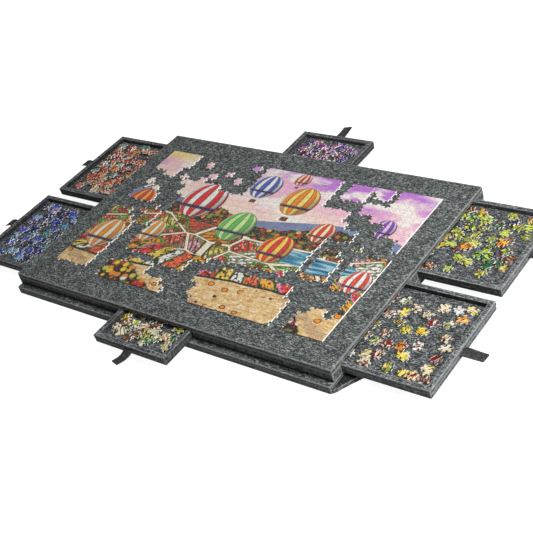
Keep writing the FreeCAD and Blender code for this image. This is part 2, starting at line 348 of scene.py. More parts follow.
def makeFelt(name):
    tones = feltTones[name]
    paint = Paint(name)
    where = paint.place()
    bent = sway(paint, where)
    one, two = strands(paint, bent, 0.4, (3, 0, 0)), strands(paint, bent, -0.6, (0, 7, 0))
    three, four = strands(paint, bent, 1.5, (0, 0, 4)), strands(paint, bent, 0.9, (5, 2, 1))
    light = paint.step(one.either(two).either(three), 0.56, 0.74)
    dark = paint.step(one.both(three).both(four), 0.44, 0.30)
    fuzz = paint.noise(where, 1 / feltFibre["fuzz"], 3, 0.65)
    tufts = paint.noise(where, 230, 2, 0.6)
    # cut sides show the felt's flat layers, and a painted highlight of light loose threads runs along the
    # edges
    side = paint.attribute("cutSide")
    run, layer = 1 / feltFibre["streak"], 1 / feltFibre["layer"]
    streaks = paint.noise(paint.mapped(where, stretch=(run, run, layer)), 1.0, 2, 0.55)
    layered = paint.step((streaks - 0.5).size(), 0.10, 0.02) * paint.step(tufts, 0.40, 0.60)
    light = light * (1 - side * 0.8) + layered * side * 0.55
    # painted highlight: light fibres along the long edges
    trim = nearEdge(paint, where) * paint.step(fuzz, 0.30, 0.62)
    patches = paint.noise(where, 38, 3, 0.6)
    light = light * paint.step(patches, 0.34, 0.62, 0.70, 1.05)
    # the cut sides take the darker cut tone: partly the felt's own cut face, partly painted shade
    shade = paint.lay(
        tones["dark"], (tones["mid"], tufts * 0.6 + patches * 0.4, 0.40, 0.58), (tones["cut"], side * 0.6),
        (tones["dark"], dark * 0.85), (tones["light"], light * paint.step(fuzz, 0.25, 0.75, 0.55, 1.0)),
        (tones["light"], trim * tones["trim"]))
    height = light * 0.6 + fuzz * 0.6 + tufts * 0.5 - dark * 0.4
    return paint.finish({
        "Base Color": shade, "Roughness": 0.95, "Specular IOR Level": 0.15,
        "Sheen Weight": 0.0 if name == "shadedFelt" else 0.05, "Sheen Roughness": 0.5,
        "Normal": paint.bump(height, 0.7, feltFibre["relief"])})


felts = {name: makeFelt(name) for name in feltTones}
print("felt ready")


# felt boards, strips and trays

feltCut = {
    "grid": 7 * mm, "thickGrid": 3 * mm, "edge": 0.8 * mm, "edgeSteps": 2, "cornerSteps": 3,
    "lump": 0.36 * mm, "lumpScale": 13 * mm, "settle": 0.6,
    "boardCorner": 3 * mm, "trayCorner": 2.5 * mm,
}
# where the bottom board widens, under a tray
flareCut = {"out": 40 * mm, "slant": 72 * mm, "far": -15 * mm, "overlap": 20 * mm, "inset": 3.5 * mm}
lumpTexture = clouds("feltLumps", feltCut["lumpScale"], 2)


def cutGrid(piece, low, high):
    for axis in range(3):
        grid = feltCut["thickGrid"] if axis == 2 else feltCut["grid"]
        cuts = int((high[axis] - low[axis]) / grid)
        if cuts:
            pickEdges(piece, lambda a, b: abs(a[axis] - b[axis]) > 0.5 * (high[axis] - low[axis]))
            bpy.ops.mesh.subdivide(number_cuts=cuts)
    switchTo("OBJECT")


def softenEdges(edge, sharp=40):
    # rounds the edges of the piece in hand that are sharper than this many degrees
    switchTo("EDIT")
    bpy.ops.mesh.select_all(action="DESELECT")
    bpy.ops.mesh.edges_select_sharp(sharpness=math.radians(sharp))
    bpy.ops.mesh.bevel(offset=edge, segments=feltCut["edgeSteps"], affect="EDGES")
    switchTo("OBJECT")


def feltBlock(name, low, high, corner):
    # a block of felt: cut, rounded at its upright corners and edges
    piece = addBox(name, low, high)
    cutGrid(piece, low, high)
    if corner:
        def onCorner(a, b):
            return all(min(abs(p[n] - low[n]), abs(p[n] - high[n])) < 1e-6 for p in (a, b) for n in (0, 1))
        pickEdges(piece, onCorner)
        bpy.ops.mesh.bevel(offset=corner, segments=feltCut["cornerSteps"], affect="EDGES")
        switchTo("OBJECT")
    softenEdges(feltCut["edge"])
    return piece


def flareBlock(low, high):
    # the part of the bottom board that widens to the right, with slanting ends
    front = low[1]
    start = high[0] - flareCut["out"]
    low = (start - flareCut["overlap"], front + flareCut["inset"], low[2])
    high = (high[0], flareCut["far"], high[2])
    piece = addBox("flare", low, high)
    cutGrid(piece, low, high)
    switchTo("EDIT")
    for end, way in ((front, 1), (flareCut["far"], -1)):
        bpy.ops.mesh.select_all(action="SELECT")
        bpy.ops.mesh.bisect(plane_co=(start, end, 0), plane_no=(flareCut["slant"], -way * flareCut["out"], 0),
                            use_fill=True, clear_outer=True)
    switchTo("OBJECT")
    softenEdges(feltCut["edge"])
    return piece


def roughen(piece):
    # an uneven, slightly lumpy surface
    applyModifier(piece, "DISPLACE", {"texture": lumpTexture, "texture_coords": "LOCAL",
                                      "strength": feltCut["lump"], "mid_level": feltCut["settle"]})
    bpy.ops.object.shade_smooth_by_angle(angle=math.radians(60))


def markCut(piece, low, high):
    # tells the paint which faces are cut sides and where the long edges run
    setFaces(piece, "cutSide", [float(abs(face.normal.z) < 0.6) for face in piece.data.polygons])
    for name, corner in (("cutLow", low), ("cutHigh", high)):
        layer = piece.data.attributes.new(name, "FLOAT_VECTOR", "POINT")
        layer.data.foreach_set("vector", np.tile(corner, len(piece.data.vertices)))


# felts painted as shade: up to what height at the foot of the front walls, and which way they look on the
# trays
footShade = {"front_wall_left": {"wellFelt": 25.5 * mm, "shadedFelt": 22 * mm},
             "front_wall_right": {"wellFelt": 22.5 * mm}}
shadedSides = {"back": (1, 0, 0), "front": (1, 0, 0), "right_back": (0, -1, 0), "left_back": (0, -1, 0)}


def paintShadeOnSide(piece, felt, way, least=0.35, under=1):
    # faces that look one way, up to some height, get a darker felt as painted shade, where the boards around
    # them shade them
    piece.data.materials.append(felts[felt])
    for face in piece.data.polygons:
        if face.normal.dot(Vector(way)) > least and face.center.z < under:
            face.material_index = len(piece.data.materials) - 1


def intoTray(name, low, high):
    # the way from a rim strip across to the middle of its tray
    centres = [Vector((ends[0][0] + ends[1][0], ends[0][1] + ends[1][1], 0))
               for ends in (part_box(name.split("_rim_")[0] + "_floor"), (low, high))]
    way = centres[0] - centres[1]
    way[0 if high[0] - low[0] > high[1] - low[1] else 1] = 0
    return way.normalized()


def finishFelt(piece, material, body):
    piece.data.materials.clear()
    piece.data.materials.append(felts[material])
    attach(piece, body)


def makeCasePart(name, low, high):
    corner = feltCut["boardCorner"] if name.endswith("board") else 0
    if name == "bottom_board":
        flare = flareBlock(low, high)
        high[0] -= flareCut["out"]
    piece = feltBlock(name + "_felt", low, high, corner)
    if name == "bottom_board":
        piece = joinPieces(name + "_felt", [piece, flare])
    roughen(piece)
    if name == "bottom_board":
        for point in piece.data.vertices:
            point.co.z = max(point.co.z, low[2])  # it stands flat on the ground
    markCut(piece, low, high)
    finishFelt(piece, "boardFelt", "case")
    # painted shade: the bottom board's upper faces, where it widens under the right front tray, get a very
    # dark felt
    if name == "bottom_board":
        paintShadeOnSide(piece, "wellFelt", (0, 0, 1), 0.9)
    # painted shadow along the foot of the front walls
    for felt, under in footShade.get(name, {}).items():
        paintShadeOnSide(piece, felt, (0, -1, 0), under=under)
    return piece


def makeTrayPart(name, low, high):
    tray = name.split("_tray_")[0]
    isFloor = name.endswith("floor")
    piece = feltBlock(name + "_felt", low, high, feltCut["trayCorner"] if isFloor else 0)
    roughen(piece)
    markCut(piece, low, high)
    # painted shade: the rims of the trays away from the right side get a darker copy of the rim felt
    rimFelt = "rimFelt" if name.startswith("right") else "dimFelt"
    finishFelt(piece, "floorFelt" if isFloor else rimFelt, tray + "_tray")
    # painted shade on the faces of these trays that look the way given for them
    if tray in shadedSides:
        paintShadeOnSide(piece, "duskFelt", shadedSides[tray], 0.7)
    # painted shade on the rims' inner sides
    if not isFloor:
        felt = "duskFelt" if tray in ("back", "front", "right_back") else "wellFelt"
        paintShadeOnSide(piece, felt, intoTray(name, low, high))
    return piece


def makeFeltParts():
    for name in list(nodes):
        if name.endswith("strap"):
            continue
        low, high = (list(corner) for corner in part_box(name))
        make = makeTrayPart if "_tray_" in name else makeCasePart
        piece = make(name, low, high)
        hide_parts(name)


makeFeltParts()
print("felt boards, walls and trays ready")


# pull straps

strapCut = {"width": 25 * mm, "thick": 2.5 * mm, "round": 6 * mm, "edge": 0.7 * mm, "grid": 2.5 * mm,
            "cutsAcross": 5, "roundSteps": 4}
# the run of each strap in mm: outwards from the rim, sideways, up from the seam, and its twist in degrees
strapRuns = {
    "right_front": [(-9, 0, 1.3, 0), (4, 0, 1.2, 0), (20, 0, 0.4, -4), (36, 0, -0.6, -7), (48, 0, -0.8, -7)],
    "right_back": [(-9, 0, 1.3, 0), (3, 1, 1.0, 0), (14, 5, -4, 0), (30, 8, -9, 0), (46, 10, -7, 0)],
    "back": [(-9, 2, 1.3, 0), (4, 2, 1.2, 0), (18, 3, 0.5, -5), (36, 4, 1.0, -9), (52, 6, 2.0, -9)],
    "left_back": [(-9, 0, 1.3, 0), (2, 0, 1.5, 0), (11, 0, 3.0, 0), (21, 0, 3.0, 0), (30, 0, 0.5, 0)],
    "left_front": [(-9, 0, 1.3, 0), (3, 0, 2.0, 0), (14, 0, 4.5, 0), (25, 0, 2.0, 0), (34, 0, -2.5, 0)],
    "front": [(-9, 0, 1.3, 0), (2, 0, 1.0, 0), (11, -1, -3.5, 4), (24, -4, -6.5, 8), (40, -9, -4, 8)],
}
outwards = {"right": Vector((1, 0, 0)), "back": Vector((0, 1, 0)),
            "left": Vector((-1, 0, 0)), "front": Vector((0, -1, 0))}


def strapLine(tray):
    # a smooth curve through the run, in the tray's own place
    out = outwards[tray.split("_")[0]]
    side = Vector((0, 0, 1)).cross(out)
    low, high = (Vector(corner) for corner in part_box(tray + "_tray_rim_outer"))
    strapLow, strapHigh = (Vector(corner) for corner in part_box(tray + "_tray_strap"))
    far = max(low.dot(out), high.dot(out))
    across = (strapLow + strapHigh).dot(side) / 2
    data = bpy.data.curves.new(tray + "_line", "CURVE")
    data.dimensions = "3D"
    data.twist_mode = "Z_UP"
    data.resolution_u = 24
    run = strapRuns[tray]
    spline = data.splines.new("NURBS")
    spline.points.add(len(run) - 1)
    for point, (o, a, u, twist) in zip(spline.points, run):
        place = out * (far + o * mm) + side * (across + a * mm) + Vector((0, 0, low.z + u * mm))
        point.co = (*place, 1)
        point.tilt = math.radians(twist)
    spline.order_u = 3
    spline.use_endpoint_u = True
    return addObject(data.name, data), spline.calc_length()


def makeStrap(tray):
    line, length = strapLine(tray)
    half, thick = strapCut["width"] / 2, strapCut["thick"] / 2
    piece = addBox(tray + "_tray_strap_felt", (0, -half, -thick), (length, half, thick))

    def onTipCorner(a, b):
        return abs(a.z - b.z) > thick and min(a.x, b.x) > length - 1e-6 and abs(a.y) > half - 1e-6
    pickEdges(piece, lambda a, b: abs(a.x - b.x) > 0.5 * length)
    bpy.ops.mesh.subdivide(number_cuts=int(length / strapCut["grid"]))
    pickEdges(piece, lambda a, b: abs(a.y - b.y) > half)
    bpy.ops.mesh.subdivide(number_cuts=strapCut["cutsAcross"])
    pickEdges(piece, onTipCorner)
    bpy.ops.mesh.bevel(offset=strapCut["round"], segments=strapCut["roundSteps"], affect="EDGES")
    softenEdges(strapCut["edge"], 50)
    applyModifier(piece, "CURVE", {"object": line, "deform_axis": "POS_X"})
    bpy.data.objects.remove(line)
    roughen(piece)
    markCut(piece, *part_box(tray + "_tray_strap"))
    finishFelt(piece, "strapFelt", tray + "_tray")
    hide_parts(tray + "_tray_strap")


for tray in trays:
    makeStrap(tray)
print("straps ready")


# jigsaw pieces, cut once for each pattern of knobs and sockets

jigsaw = {
    "pitch": 19.83 * mm, "thick": 2.3 * mm, "knob": 3.3 * mm, "reach": 0.62, "knobSides": 8,
    "gap": 0.22 * mm, "rim": 0.75 * mm, "dome": 0.35 * mm, "under": 5 * mm, "over": 8 * mm,
    "peg": 30 * mm, "pegStep": 1 * mm,
    "bigSway": 3.2 * mm, "bigScale": 38 * mm, "smallSway": 1.6 * mm, "smallScale": 11 * mm,
}
blanks = {}


def cutSide(piece, side, code):
    # adds a knob to one side or cuts a socket into it; the pegs differ in length, so no ends meet
    gap, knob = jigsaw["gap"], jigsaw["knob"]
    half, bulge = (jigsaw["pitch"] - gap) / 2, knob * jigsaw["reach"]
    reach, radius = (half + bulge, knob) if code > 0 else (half + gap - bulge, knob + gap)
    turn = side * math.pi / 2
    clearSelection()
    bpy.ops.mesh.primitive_cylinder_add(
        vertices=jigsaw["knobSides"], radius=radius, depth=jigsaw["peg"] - jigsaw["pegStep"] * side,
        location=(reach * math.cos(turn), reach * math.sin(turn), 0), rotation=(0, 0, turn + math.pi / 2))
    peg = bpy.context.object
    applyModifier(piece, "BOOLEAN", {"object": peg, "operation": "UNION" if code > 0 else "DIFFERENCE"})
    bpy.data.objects.remove(peg)


def cutBlank(codes):
    # codes say what its right, top, left and bottom have: 1 a knob, -1 a socket, 0 a straight cut
    half = (jigsaw["pitch"] - jigsaw["gap"]) / 2
    top = jigsaw["thick"] - jigsaw["dome"]
    piece = addBox("blank", (-half, -half, -jigsaw["under"]), (half, half, jigsaw["over"]))
    for side, code in enumerate(codes):
        if code:
            cutSide(piece, side, code)
    switchTo("EDIT")
    for height, under in ((0, True), (top, False)):
        bpy.ops.mesh.select_all(action="SELECT")
        bpy.ops.mesh.bisect(plane_co=(0, 0, height), plane_no=(0, 0, 1), use_fill=True,
                            clear_inner=under, clear_outer=not under)
    bpy.ops.mesh.select_all(action="SELECT")
    bpy.ops.mesh.remove_doubles(threshold=0.02 * mm)
    bpy.ops.mesh.dissolve_limited(angle_limit=math.radians(3))
    bpy.ops.mesh.normals_make_consistent(inside=False)
    pickFaces(piece, lambda face: face.normal.z > 0.9)
    bpy.ops.mesh.inset(thickness=jigsaw["rim"], depth=jigsaw["dome"])
    switchTo("OBJECT")
    piece.data.materials.append(picture)
    piece.data.materials.append(card)
    return piece


def blankFor(codes):
    # the nearest cut pattern and how many quarter turns bring it to these codes
    turns = [tuple(codes[(n + k) % 4] for n in range(4)) for k in range(4)]
    wanted = max(turns)
    if wanted not in blanks:
        blanks[wanted] = cutBlank(wanted)
    return blanks[wanted], turns.index(wanted)


def jigsawPiece(codes, column, row, free):
    # a copy at its place in the picture; its cut rim is bare card at free left and right sides
    blank, turns = blankFor(codes)
    piece = copyPiece(blank, "cut")
    piece.data.transform(Matrix.Rotation(turns * math.pi / 2, 4, "Z"))
    rims = []
    for face in piece.data.polygons:
        angle = math.atan2(face.center.y, face.center.x)
        side = round(angle / (math.pi / 2)) % 4
        isTop = face.normal.z > 0.97
        isRim = 0.1 < face.normal.z <= 0.97 or (isTop and face.area < 3e-5)
        bare = isRim and free[side] and side in (0, 2)
        face.material_index = int(bare or not (isTop or isRim))
        rims.append(float(isRim and not bare))
    # the rims along the cuts, which the print darkens as painted shade
    setFaces(piece, "rim", rims)
    shift = Vector(((column + 0.5) * jigsaw["pitch"], (row + 0.5) * jigsaw["pitch"], 0))
    piece.data.transform(Matrix.Translation(shift))
    return piece


seamKnobs = dice.choice([-1, 1], size=(2, 64, 48))


def codesAt(column, row):
    return (int(seamKnobs[0][column + 1][row]), int(seamKnobs[1][column][row + 1]),
            -int(seamKnobs[0][column][row]), -int(seamKnobs[1][column][row]))


swayTextures = [clouds(name, scale) for name, scale in
                (("swayAcross", jigsaw["bigScale"]), ("swayUp", jigsaw["bigScale"] * 1.1),
                 ("shakeAcross", jigsaw["smallScale"]), ("shakeUp", jigsaw["smallScale"] * 1.1))]


def bendCuts(piece, group=""):
    # bends all cuts a little, together, so that neighbours still fit
    for number, texture in enumerate(swayTextures):
        strength = jigsaw["bigSway"] if number < 2 else jigsaw["smallSway"]
        settings = {"texture": texture, "texture_coords": "LOCAL", "strength": strength, "mid_level": 0.5,
                    "direction": "XY"[number % 2], "vertex_group": group}
        applyModifier(piece, "DISPLACE", settings)


# the picture that the finished parts show: flower fields, woods, water, clouds and striped balloons

pictureCut = {"columns": 40, "rows": 24, "low": (-401.0 * mm, -241.8 * mm), "sink": 0.25 * mm,
              "edge": 0.5 * mm, "calm": 8 * mm}
pictureHeight = pictureCut["rows"] * jigsaw["pitch"]
balloons = [
    ((0.49, 0.66), 0.125, (0.82, 0.03, 0.03), (0.95, 0.92, 0.86)),
    ((0.80, 0.53), 0.100, (0.16, 0.55, 0.12), (0.62, 0.86, 0.34)),
    ((1.00, 0.79), 0.100, (0.92, 0.26, 0.02), (0.96, 0.78, 0.20)),
    ((0.75, 0.85), 0.085, (0.07, 0.14, 0.55), (0.94, 0.92, 0.90)),
    ((0.91, 0.95), 0.045, (0.80, 0.04, 0.06), (0.96, 0.84, 0.60)),
    ((1.25, 0.61), 0.065, (0.80, 0.04, 0.08), (0.95, 0.85, 0.40)),
    ((0.14, 0.58), 0.085, (0.82, 0.06, 0.04), (0.92, 0.46, 0.08)),
    ((1.52, 0.72), 0.060, (0.22, 0.08, 0.52), (0.88, 0.60, 0.80)),
    ((1.10, 0.44), 0.090, (0.84, 0.04, 0.03), (0.95, 0.66, 0.10)),
    ((0.38, 0.37), 0.075, (0.92, 0.38, 0.03), (0.96, 0.88, 0.66)),
    ((0.12, 0.29), 0.100, (0.95, 0.33, 0.03), (0.96, 0.88, 0.66)),
    ((1.60, 0.36), 0.070, (0.85, 0.08, 0.04), (0.94, 0.90, 0.84)),
]


# how much darker the prints are than their plain colours, in all, and the painted shade on the rounded rims
# along the cuts
prints = {
    "picture": {"ink": 0.16, "rim": 0.24, "rimTone": (0.03, 0.02, 0.03)},
    "loose": {"ink": 0.14, "rim": 0.5, "rimTone": (0.02, 0.015, 0.015)},
}
outline = (0.04, 0.02, 0.04)


def finishPrint(paint, shade, name):
    look = prints[name]
    # painted shade along the cuts, on the rounded rims
    rim = paint.attribute("rim") * look["rim"]
    shade = paint.lay(shade, (look["rimTone"], rim), ((0, 0, 0), look["ink"]))
    return paint.finish({"Base Color": shade, "Roughness": 0.5, "Specular IOR Level": 0.3})


def addBalloon(paint, under, x, y, spot, radius, first, second):
    across = (x - spot[0]) / radius
    up = (y - spot[1]) / (radius * 1.12)
    spread = across * across + up * up
    clipped = (across / (1.02 - up * up).root()).both(1.0).either(-1.0)
    gores = (clipped.maths("ARCSINE", clipped) * 9.0).sine()
    belt = paint.step(up, -0.55, -0.45) * paint.step(up, -0.28, -0.38)
    skin = paint.lay(
        first, (second, gores, -0.15, 0.15), (outline, gores.size(), 0.34, 0.12, 0.0, 0.85),
        ((0.05, 0.05, 0.09), belt), ((0.05, 0.02, 0.05), across - up * 0.5, 0.1, 1.1, 0.0, 0.6),
        (outline, spread, 0.86, 0.94, 0.0, 0.7))
    basketX = ((x - spot[0]) / (radius * 0.22)).size()
    basketY = ((y - spot[1]) / radius + 1.42).size() / 0.16
    basket = basketX.either(basketY)
    return paint.lay(under, (skin, spread, 1.0, 0.93), ((0.16, 0.07, 0.02), basket, 1.0, 0.9))


def ridge(paint, x, y, height, swing, pace, start, rough=0.0):
    # 1 below a rolling line
    line = (x * pace + start).sine() * swing + height
    if rough:
        line = line + (paint.noise(paint.vector(x, y), 14, 3, 0.6) - 0.5) * rough
    return paint.step(line - y, -0.002, 0.002)


def paintSky(paint, uv, x, y):
    drift = paint.noise(uv, 2.6, 4, 0.6, 0.4)
    sky = paint.ramp(y + (drift - 0.5) * 0.5 + (x - 0.8) * 0.12, [
        (0.50, 0.98, 0.88, 0.70), (0.68, 0.98, 0.74, 0.64), (0.88, 0.92, 0.50, 0.68),
        (1.0, 0.56, 0.20, 0.70)])
    puffs = paint.noise(paint.mapped(uv, stretch=(1.5, 2.6, 1)), 2.4, 5, 0.55, 0.6)
    glow = paint.noise(paint.mapped(uv, move=(3, 1, 0)), 2.0, 2, 0.5)
    return paint.lay(
        sky, ((0.98, 0.90, 0.84), puffs, 0.48, 0.62), ((0.50, 0.18, 0.62), puffs, 0.36, 0.26, 0.0, 0.75),
        ((0.98, 0.80, 0.22), paint.step(x, 0.5, 0.1) * paint.step(glow + y * 0.4, 0.74, 0.92)))


def paintWoods(paint, uv):
    # autumn trees, seen as round crowns
    bent = paint.mapped(uv, stretch=(1, 1.25, 1))
    leaves = paint.ramp(paint.parts(paint.cells(bent, 34, "Color"))[0], [
        (0.0, 0.20, 0.01, 0.02), (0.18, 0.62, 0.05, 0.02), (0.36, 0.80, 0.24, 0.02), (0.52, 0.88, 0.52, 0.06),
        (0.66, 0.30, 0.33, 0.04), (0.80, 0.05, 0.15, 0.04), (0.92, 0.60, 0.10, 0.08)], "CONSTANT")
    return paint.lay(
        leaves, ((0.03, 0.03, 0.02), paint.cells(bent, 34), 0.30, 0.62),
        ((0.95, 0.80, 0.35), paint.noise(uv, 110, 2), 0.55, 0.75, 0.0, 0.5))


def paintPlots(paint, uv, x, y):
    # garden plots between hedges and lanes, each with its own crop in rows
    tilted = paint.mapped(uv, turn=(0, 0, 0.25), stretch=(1, 1.5, 1))
    pick, turned, lush = paint.parts(paint.cells(tilted, 7, "Color"))
    hedge = paint.borders(tilted, 7)
    lane = paint.borders(paint.mapped(uv, (4, 1, 0), (0, 0, 0.4), (1, 1.6, 1)), 3)
    crops = paint.ramp(pick, [
        (0.0, 0.86, 0.04, 0.03), (0.30, 0.95, 0.32, 0.02), (0.44, 0.96, 0.72, 0.12), (0.56, 0.88, 0.10, 0.06),
        (0.76, 0.95, 0.90, 0.80), (0.84, 0.32, 0.70, 0.16), (0.94, 0.90, 0.36, 0.48)], "CONSTANT")
    shaky = (paint.noise(uv, 40, 2) - 0.5) * 3.0
    rowsUp, rowsOver = ((x * 0.9 + y * 0.5) * 250 + shaky).sine(), ((y - x * 0.3) * 280 + shaky).sine()
    furrow = paint.step(turned, 0.499, 0.501) * (rowsUp - rowsOver) + rowsOver
    plants = paint.cells(uv, 62)
    leafy = paint.lay((0.01, 0.04, 0.01), ((0.26, 0.52, 0.10), paint.noise(uv, 120, 2), 0.35, 0.65))
    return paint.lay(
        crops, ((0.035, 0.05, 0.02), furrow, -0.35, -0.75, 0.0, 0.9),
        ((0.97, 0.92, 0.80), paint.step(plants, 0.30, 0.18) * paint.step(lush, 0.25, 0.35) * 0.8),
        ((0.05, 0.09, 0.03), paint.step(plants, 0.52, 0.64) * 0.8), (leafy, hedge, 0.050, 0.030),
        ((0.05, 0.03, 0.02), lane, 0.034, 0.028), ((0.98, 0.88, 0.66), lane, 0.022, 0.016))


def paintFlowerRows(paint, x, y):
    # rows that run to one far point
    depth = 0.70 - y
    rows = (x - 0.9) / depth
    flowers = paint.ramp((rows * 1.10 + 0.1).rest(), [
        (0.0, 0.85, 0.04, 0.03), (0.15, 0.06, 0.14, 0.03), (0.18, 0.95, 0.66, 0.08), (0.33, 0.05, 0.12, 0.03),
        (0.36, 0.95, 0.90, 0.80), (0.49, 0.08, 0.20, 0.04), (0.52, 0.92, 0.14, 0.05),
        (0.69, 0.05, 0.13, 0.03), (0.72, 0.95, 0.42, 0.04), (0.89, 0.14, 0.40, 0.06),
        (0.93, 0.88, 0.20, 0.38)], "CONSTANT")
    heads = paint.cells(paint.vector(rows * 34, 14 / depth), 1.0)
    return paint.lay(
        flowers, ((0.03, 0.05, 0.02), heads, 0.52, 0.68), ((0.98, 0.92, 0.78), heads, 0.20, 0.08, 0.0, 0.75))


def paintWater(paint, uv):
    ripples = paint.noise(paint.mapped(uv, stretch=(6, 60, 1)), 1.2, 3, 0.6)
    return paint.ramp(ripples, [(0.35, 0.02, 0.07, 0.16), (0.5, 0.06, 0.32, 0.46), (0.62, 0.48, 0.66, 0.74)])


def paintField(paint, uv, x, y):
    # ripe straw with tracks and stooks
    straw = paint.noise(paint.mapped(uv, turn=(0, 0, 0.3), stretch=(14, 90, 1)), 1.0, 3, 0.6)
    straw = straw * 0.45 + paint.noise(uv, 42, 4, 0.65, 0.6) * 0.55
    field = paint.ramp(straw, [
        (0.34, 0.36, 0.16, 0.05), (0.44, 0.74, 0.46, 0.18), (0.54, 0.88, 0.64, 0.32),
        (0.64, 0.96, 0.84, 0.58)])
    tracks = ((x - 0.2 + y * 1.8) * 9 + paint.noise(uv, 6, 2) * 2.0).sine()
    stooks = paint.cells(paint.mapped(uv, stretch=(1, 1.3, 1)), 15)
    here = paint.step(paint.noise(uv, 5, 1), 0.46, 0.50)
    return paint.lay(
        field, ((0.30, 0.17, 0.12), tracks, 0.86, 0.98, 0.0, 0.4),
        ((0.88, 0.30, 0.02), paint.step(stooks, 0.26, 0.20) * here),
        ((0.06, 0.03, 0.02), paint.step((stooks - 0.25).size(), 0.05, 0.02) * here))


def paintGourds(paint, uv):
    moved = paint.mapped(uv, move=(0.3, 0.1, 0))
    gourds = paint.ramp(paint.parts(paint.cells(moved, 30, "Color"))[1], [
        (0.0, 0.90, 0.30, 0.02), (0.25, 0.90, 0.66, 0.04), (0.45, 0.55, 0.04, 0.03), (0.6, 0.60, 0.62, 0.08),
        (0.75, 0.92, 0.84, 0.66), (0.88, 0.12, 0.26, 0.05)], "CONSTANT")
    return paint.lay(gourds, ((0.05, 0.02, 0.02), paint.cells(moved, 30), 0.38, 0.62))


def paintPicture():
    # from the sky down: hills, woods, plots, flowers, a lake, a hedge, a field, and gourds in the corners
    paint = Paint("printedPicture")
    uv = paint.node("ShaderNodeUVMap", {"uv_map": "picture"})
    x, y, _ = paint.parts(uv)
    hills = paint.mix(paint.noise(uv, 30, 3), (0.16, 0.13, 0.34), (0.26, 0.40, 0.52))
    lakeX, lakeY = (x - 1.33) / 0.24, (y - 0.415) / 0.055
    wobble = (paint.noise(uv, 18, 2) - 0.5) * 0.5
    corner = paint.step((x - 0.42).size() * 0.55 + y + (paint.noise(uv, 12, 2) - 0.5) * 0.08, 0.165, 0.150)
    corner = corner.either(paint.step((x - 1.45).size() * 1.1 + y, 0.12, 0.105))
    picture = paint.lay(
        paintSky(paint, uv, x, y),
        (hills, ridge(paint, x, y, 0.635, 0.045, 5.0, 1.0)),
        (paintWoods(paint, uv), ridge(paint, x, y, 0.60, 0.045, 7.5, 4.0, 0.10)),
        (paintPlots(paint, uv, x, y), ridge(paint, x, y, 0.50, 0.03, 4.0, 0.5, 0.02)),
        (paintFlowerRows(paint, x, y), ridge(paint, x, y, 0.315, 0.03, 3.0, 2.6)),
        (paintWater(paint, uv), lakeX * lakeX + lakeY * lakeY + wobble, 1.0, 0.93),
        ((0.035, 0.03, 0.02), ridge(paint, x, y, 0.168, 0.03, 3.2, 3.8, 0.02)),
        (paintField(paint, uv, x, y), ridge(paint, x, y, 0.155, 0.03, 3.2, 3.8, 0.02)),
        (paintGourds(paint, uv), corner))
    for balloon in balloons:
        picture = addBalloon(paint, picture, x, y, *balloon)
    speckle = paint.noise(uv, 170, 3, 0.7)
    picture = paint.lay(
        picture, ((0.03, 0.02, 0.03), speckle, 0.32, 0.50, 0.45, 0.0),
        ((1.0, 0.97, 0.92), speckle, 0.56, 0.70, 0.0, 0.4))
    return finishPrint(paint, picture, "picture")


def paintCard():
    paint = Paint("cutCard")
    grain = paint.noise(paint.place(stretch=(1, 1, 3)), 700, 3, 0.6)
    # painted shade on the cut sides that face away from the light
    dim = paint.attribute("dim") * 0.9
    shade = paint.lay((0.86, 0.82, 0.74), ((0.97, 0.96, 0.93), grain), ((0.05, 0.045, 0.04), dim))
    return paint.finish({"Base Color": shade, "Roughness": 0.8, "Normal": paint.bump(grain, 0.3, 0.1 * mm)})


picture = paintPicture()
card = paintCard()
print("picture ready")

# finished parts of the puzzle: how far each lies from its place, in mm, and its blocks of cells as (first
# column, first row, last column, last row)
puzzleParts = [
    ((0, 2), [(0, 21, 4, 23), (0, 20, 3, 20), (2, 19, 3, 19)]),
    ((-7, -5), [(1, 14, 4, 15), (2, 16, 3, 16)]),
    ((10, -2), [(0, 1, 3, 10), (4, 1, 4, 9), (0, 11, 2, 11)]),
    ((12, -8), [(4, 12, 6, 12), (5, 13, 5, 13), (5, 10, 6, 11)]),
    ((0, 2), [(8, 5, 12, 17), (7, 16, 7, 18), (8, 18, 11, 18), (8, 19, 8, 19), (13, 4, 17, 16),
              (18, 6, 19, 16), (20, 7, 29, 16), (13, 17, 30, 17), (30, 8, 30, 16), (16, 18, 26, 23),
              (27, 18, 30, 18), (31, 14, 31, 16), (32, 14, 33, 15)]),
    ((6, -2), [(28, 21, 30, 23)]),
    ((2, 0), [(32, 22, 33, 23), (31, 23, 31, 23)]),
    ((-2, 2), [(35, 21, 39, 23), (32, 19, 39, 20), (34, 18, 39, 18), (36, 16, 38, 17), (39, 14, 39, 17)]),
    ((0, 0), [(36, 7, 39, 11), (37, 12, 39, 12)]),
    ((-2, -9), [(32, 8, 34, 11), (32, 12, 33, 12)]),
    ((-2, 0), [(35, 0, 39, 2), (39, 3, 39, 6), (36, 3, 37, 3)]),
    ((4, 0), [(22, 0, 32, 0), (21, 1, 32, 2), (20, 3, 32, 3), (20, 4, 31, 4), (22, 5, 31, 5)]),
    ((-4, 2), [(8, 0, 13, 2), (10, 3, 13, 3), (14, 0, 16, 1), (17, 0, 17, 0)]),
]
# single pieces: column, row, turn in degrees
puzzleStrays = [(7, 22, 25), (9, 20, -20), (11, 21, 10), (13, 20, 35), (5, 19, -30), (14, 23, 15),
                (35, 13, 20), (1, 17, 40), (2, 16, -15), (6, 18, 10)]


def bendPart(part):
    # bends its cuts, but not near the picture's own straight edges
    width = pictureCut["columns"] * jigsaw["pitch"]
    group = part.vertex_groups.new(name="inside")
    for point in part.data.vertices:
        border = min(point.co.x, point.co.y, width - point.co.x, pictureHeight - point.co.y)
        share = (border - pictureCut["edge"]) / pictureCut["calm"]
        group.add([point.index], max(0.0, min(1.0, share)), "REPLACE")
    bendCuts(part, "inside")
    part.vertex_groups.clear()


